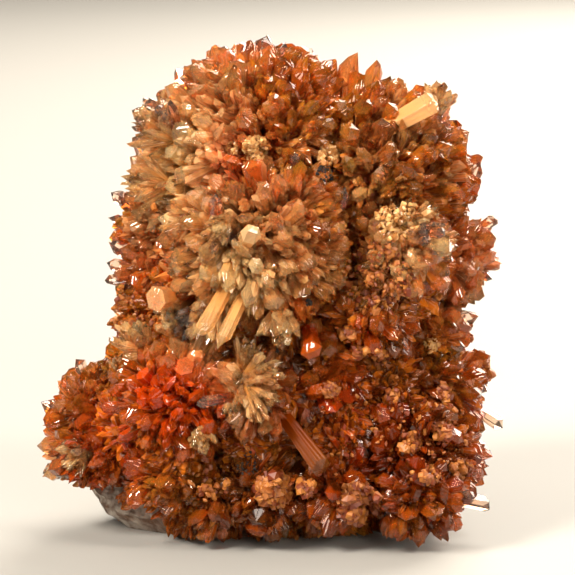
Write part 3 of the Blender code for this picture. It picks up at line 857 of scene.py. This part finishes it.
CLEAR_SPRAYS = {
    "upright": (0, 1.2, 17.5, (0.0, 0.9, 0.5), 2.0, 4.2, 3, 2.0, 0.2),
    "middle": (0, -9.5, 10.0, (-0.1, -0.7, 0.7), 3.0, 5.5, 4, 2.0, 0.7),
    "upper_left": (0, -17.0, 24.0, (-0.7, 0.6, 0.4), 4.0, 8.0, 14, 1.8, 0.7),
    "lower_left": (0, -13.0, -3.0, (-0.6, -0.5, 0.6), 4.0, 7.0, 12, 2.1, 0.6),
    "far_left": (0, -31.0, -25.0, (-0.6, -0.3, 0.6), 3.0, 6.0, 4, 1.8, 0.8),
    "slivers": (0, 2.2, 28.4, (-0.4, 0.9, 0.4), 0.5, 3.0, 1, 0.4, 0.1),
    "slivers_low": (0, 1.5, 23.6, (-0.9, 0.4, 0.4), 0.5, 2.6, 2, 0.4, 0.3),
    "slivers_right": (0, 5.2, 25.0, (0.2, 0.9, 0.3), 0.5, 2.2, 2, 0.35, 0.5),
    "slivers_middle": (0, 2.6, 14.2, (0.8, 0.6, 0.3), 0.5, 2.4, 2, 0.4, 0.4),
    "white_facet": (0, -10.6, 10.5, (-0.1, 0.9, 0.5), 2.5, 5.0, 2, 2.6, 0.1),
    "white_box": (0, 7.8, 12.6, (0.3, 0.9, 0.4), 2.0, 3.6, 2, 1.8, 0.2),
    "pink_facet": (0, -19.6, -0.2, (0.6, 0.1, 0.8), 1.5, 3.4, 2, 3.2, 0.1),
    "right": (0, 20.0, 8.5, (0.6, 0.0, 0.7), 3.0, 6.0, 12, 1.7, 0.9),
    "lower_right": (0, 26.0, -31.0, (0.5, -0.5, 0.6), 2.5, 4.5, 3, 1.8, 0.7),
    "fan_left": (0, -8.6, -17.2, (-0.97, -0.12, 0.35), -0.3, 6.0, 3, 2.2, 0.2),
    "back": (180, 5.0, 12.0, (0.0, 0.4, 0.9), 3.5, 6.5, 16, 1.9, 0.9),
}
rng = np.random.default_rng(402)
tips = EDGE_TIPS[:, [0, 2, 1]]
inward = CENTRES[np.linalg.norm(tips[:, None] - CENTRES, axis=2).argmin(1)] - tips
inward /= np.linalg.norm(inward, axis=1)[:, None]
parts = [(tips + inward * 7 * MM, tips, EDGE_TIPS[:, 3])]
parts += [spray(*values, rng) for values in CLEAR_SPRAYS.values()]
roots, tips, widths = (np.concatenate(column) for column in zip(*parts))
tips = np.clip(tips, np.array(CAD_BOX[0]) + 0.1 * MM, np.array(CAD_BOX[1]) - 0.1 * MM)
clear_ones = prism_mesh("clear_crystals", roots, tips, widths, {}, rng, turned=31, flatness=(0.6, 0.95))
glassy, tree, shader = new_material("creedite_colourless")
along = add_node(tree, "ShaderNodeAttribute", attribute_name="along").outputs["Fac"]
tree.links.new(mix_colour(tree, along, "#F49C48", "#FFEEDC"), shader.inputs["Base Color"])
shader.inputs["Roughness"].default_value = 0.04
shader.inputs["IOR"].default_value = 1.46
shader.inputs["Transmission Weight"].default_value = 0.97
absorb = add_node(tree, "ShaderNodeVolumeAbsorption", Density=50.0)
absorb.inputs["Color"].default_value = linear("#FAD2A8")
tree.links.new(absorb.outputs["Volume"], tree.nodes["Material Output"].inputs["Volume"])
clear_ones.data.materials.append(glassy)
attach(clear_ones, "root")
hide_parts("creedite")


# Druse on the rock: short prisms that line its edge under the bursts and grow in patches on its back,
# rooted on the rock's own points and pointing out along its normals.

rng = np.random.default_rng(403)
picked = rng.choice(len(rock_points), 5200, replace=False)
bases, out = rock_points[picked], rock_normals[picked]
patchy = lattice_noise(bases, 7 * MM, 41) + 0.35 * lattice_noise(bases, 2.5 * MM, 42)
wanted = np.where(bases[:, 1] < -1 * MM, -0.9, 0.12) + 1.8 * bare_rock(bases)
grows = (patchy > wanted) & (out[:, 2] > -0.85)
bases, out = bases[grows], out[grows]
lean = out + 0.55 * drift(bases, 5 * MM, 43) + rng.normal(0, 0.25, out.shape)
lean /= np.linalg.norm(lean, axis=1)[:, None]
tall = rng.uniform(1.6, 3.8, len(bases)) * MM
roots, tips = bases - lean * 1.5 * MM, bases + lean * tall[:, None]
for ends in (roots, tips):
    ends[:, 2] = np.maximum(ends[:, 2], FLOOR_GAP)
fits = (np.linalg.norm(tips - roots, axis=1) > 1.8 * MM)
fits &= ((tips > np.array(CAD_BOX[0])) & (tips < np.array(CAD_BOX[1]))).all(1)
roots, tips = roots[fits], tips[fits]
widths = rng.uniform(0.8, 1.9, len(tips)) * MM
tones = {**tones_at(tips, rng), "clear": rng.uniform(0.5, 1.0, len(tips))}
druse = prism_mesh("rock_druse", roots, tips, widths, tones, rng)
druse.data.materials.append(creedite)
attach(druse, "root")
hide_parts("creedite")
print("rock_druse", len(tips), "prisms")


# Crust: crumbs of iron oxide and of fine cream crystals that dust the lower right and heap in small lumps.
# A crumb is an uneven twelve-cornered grain, sunk a little into the crystals under it.

GOLDEN = (1 + math.sqrt(5)) / 2
GRAIN_POINTS = np.array([(s * a, t * b, 0) for s in (-1, 1) for t in (-1, 1) for a, b in ((1, GOLDEN),)])
GRAIN_POINTS = np.concatenate([np.roll(GRAIN_POINTS, k, axis=1) for k in range(3)]) / (2 * GOLDEN)
GRAIN_FACES = np.array([(a, b, c) for a in range(12) for b in range(12) for c in range(12)
                        if a < b and a < c and b != c
                        and max(np.linalg.norm(GRAIN_POINTS[[a, b, c]] - GRAIN_POINTS[[b, c, a]], axis=1)) < 0.7
                        and np.linalg.det(GRAIN_POINTS[[a, b, c]]) > 0])


def crumbs(spots, rng):
    """Middles and sizes of crumbs: each spot is turn, right, up, radius, count, size and heap, in mm.

    They scatter evenly over a disc, and a heap lifts the inner ones toward the eye as a low dome.
    """
    middles, sizes = [], []
    for turn, x, z, radius, count, size, heap in spots:
        back, right, up = view_axes(turn)
        for _ in range(count):
            out, a = math.sqrt(rng.uniform()), rng.uniform(0, 2 * math.pi)
            hit = seen_at(turn, x + radius * out * math.cos(a), z + radius * out * math.sin(a))
            if hit is not None:
                middles.append(hit + back * heap * MM * (1 - out * out) * rng.uniform())
                sizes.append(size * MM * rng.uniform(0.4, 1.4))
    return np.array(middles), np.array(sizes)


def crumb_mesh(name, middles, sizes, rng):
    """All crumbs as one mesh: middle + size * (grain, stretched, its corners moved) @ random turn."""
    count = len(middles)
    shapes = GRAIN_POINTS[None] * rng.uniform(0.5, 1.5, (count, 1, 3))
    shapes += rng.uniform(-0.18, 0.18, (count, 12, 3))
    turns = np.linalg.qr(rng.normal(0, 1, (count, 3, 3)))[0]
    turns *= np.sign(np.linalg.det(turns))[:, None, None]
    points = middles[:, None, :] + shapes @ turns * sizes[:, None, None]
    points[..., 2] = np.maximum(points[..., 2], FLOOR_GAP * 0.5)
    faces = (GRAIN_FACES[None] + (np.arange(count) * 12)[:, None, None]).reshape(-1, 3)
    shade = (rng.uniform(0, 1, (count, 1)) ** 1.5 + rng.uniform(-0.2, 0.2, (count, 12))).ravel()
    return mesh_object(name, points.reshape(-1, 3), faces.tolist(), {"shade": shade})


CRUSTS = {
    "tan_iron_crust": ("#6A2604", "#B26E2A", 0.5, 0.0, [
        (0, 11.0, -33.3, 3.3, 220, 1.0, 1.8), (0, -2.1, -31.2, 2.7, 160, 1.0, 1.6),
        (0, 2.9, -30.9, 1.4, 60, 0.9, 1.0), (0, 9.2, -6.9, 1.0, 40, 0.8, 0.8),
        (0, 11.3, -10.0, 1.1, 44, 0.8, 0.8), (0, 14.3, -10.8, 1.2, 50, 0.8, 0.9),
        (0, 6.6, -15.8, 1.1, 44, 0.8, 0.8), (0, 24.3, -16.2, 1.3, 56, 0.8, 0.9),
        (0, 14.0, 1.0, 5.6, 260, 0.7, 0.6), (0, 24.0, -22.0, 1.5, 60, 0.8, 0.9),
        (0, 19.0, -24.0, 1.6, 66, 0.8, 0.9), (0, 27.0, -28.0, 1.5, 60, 0.8, 0.8),
        (0, 16.0, -16.0, 1.3, 50, 0.7, 0.8), (0, 22.0, -29.0, 1.3, 44, 0.8, 0.8),
        (0, 22.0, -24.0, 7.0, 90, 0.6, 0.2), (0, 15.0, -18.0, 6.0, 80, 0.5, 0.2),
        (0, -12.0, -30.0, 3.0, 60, 0.7, 0.5), (0, 6.0, -24.0, 5.0, 80, 0.6, 0.2),
        (180, 5.0, -20.0, 7.0, 260, 0.8, 0.7), (180, -14.0, 5.0, 5.0, 150, 0.7, 0.6),
        (90, 0.0, -18.0, 6.0, 200, 0.8, 0.6), (-90, 2.0, -10.0, 5.0, 160, 0.7, 0.6)]),
    "cream_frosted_crust": ("#A8682C", "#EEC07C", 0.3, 0.2, [
        (0, -5.0, 21.5, 1.8, 220, 0.6, 1.3), (0, -8.6, 21.5, 1.0, 70, 0.5, 0.6),
        (0, 6.4, 20.4, 1.5, 150, 0.6, 1.0), (0, 17.0, 10.5, 3.4, 160, 0.6, 0.6),
        (0, 22.3, -8.9, 1.2, 40, 0.5, 0.4), (0, -13.9, -23.6, 1.3, 50, 0.5, 0.3),
        (180, 10.0, 14.0, 3.0, 90, 1.0, 1.0), (-90, -6.0, 16.0, 2.4, 70, 1.0, 1.0)]),
    "black_oxide_specks": ("#0D0A07", "#2A2018", 0.9, 0.0, [
        (0, 5.8, 17.6, 1.3, 26, 0.4, 0.0), (0, 3.3, -2.4, 0.4, 12, 0.4, 0.2),
        (0, -1.6, -9.6, 0.4, 10, 0.4, 0.2), (0, -6.0, -27.2, 1.9, 70, 0.28, 0.0),
        (180, -3.0, -2.0, 1.5, 50, 0.5, 0.3)]),
}
for number, (name, (dark, light, rough, through, spots)) in enumerate(CRUSTS.items()):
    rng = np.random.default_rng(500 + number)
    crust = crumb_mesh(name, *crumbs(spots, rng), rng)
    material, tree, shader = new_material(name)
    shade = add_node(tree, "ShaderNodeAttribute", attribute_name="shade").outputs["Fac"]
    tree.links.new(mix_colour(tree, shade, dark, light), shader.inputs["Base Color"])
    shader.inputs["Roughness"].default_value = rough
    shader.inputs["Transmission Weight"].default_value = through
    crust.data.materials.append(material)
    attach(crust, "root")
    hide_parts("creedite")


size = {"cad_box": [list(corner) for corner in CAD_BOX],
        "visual_box": [list(corner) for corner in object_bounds()]}
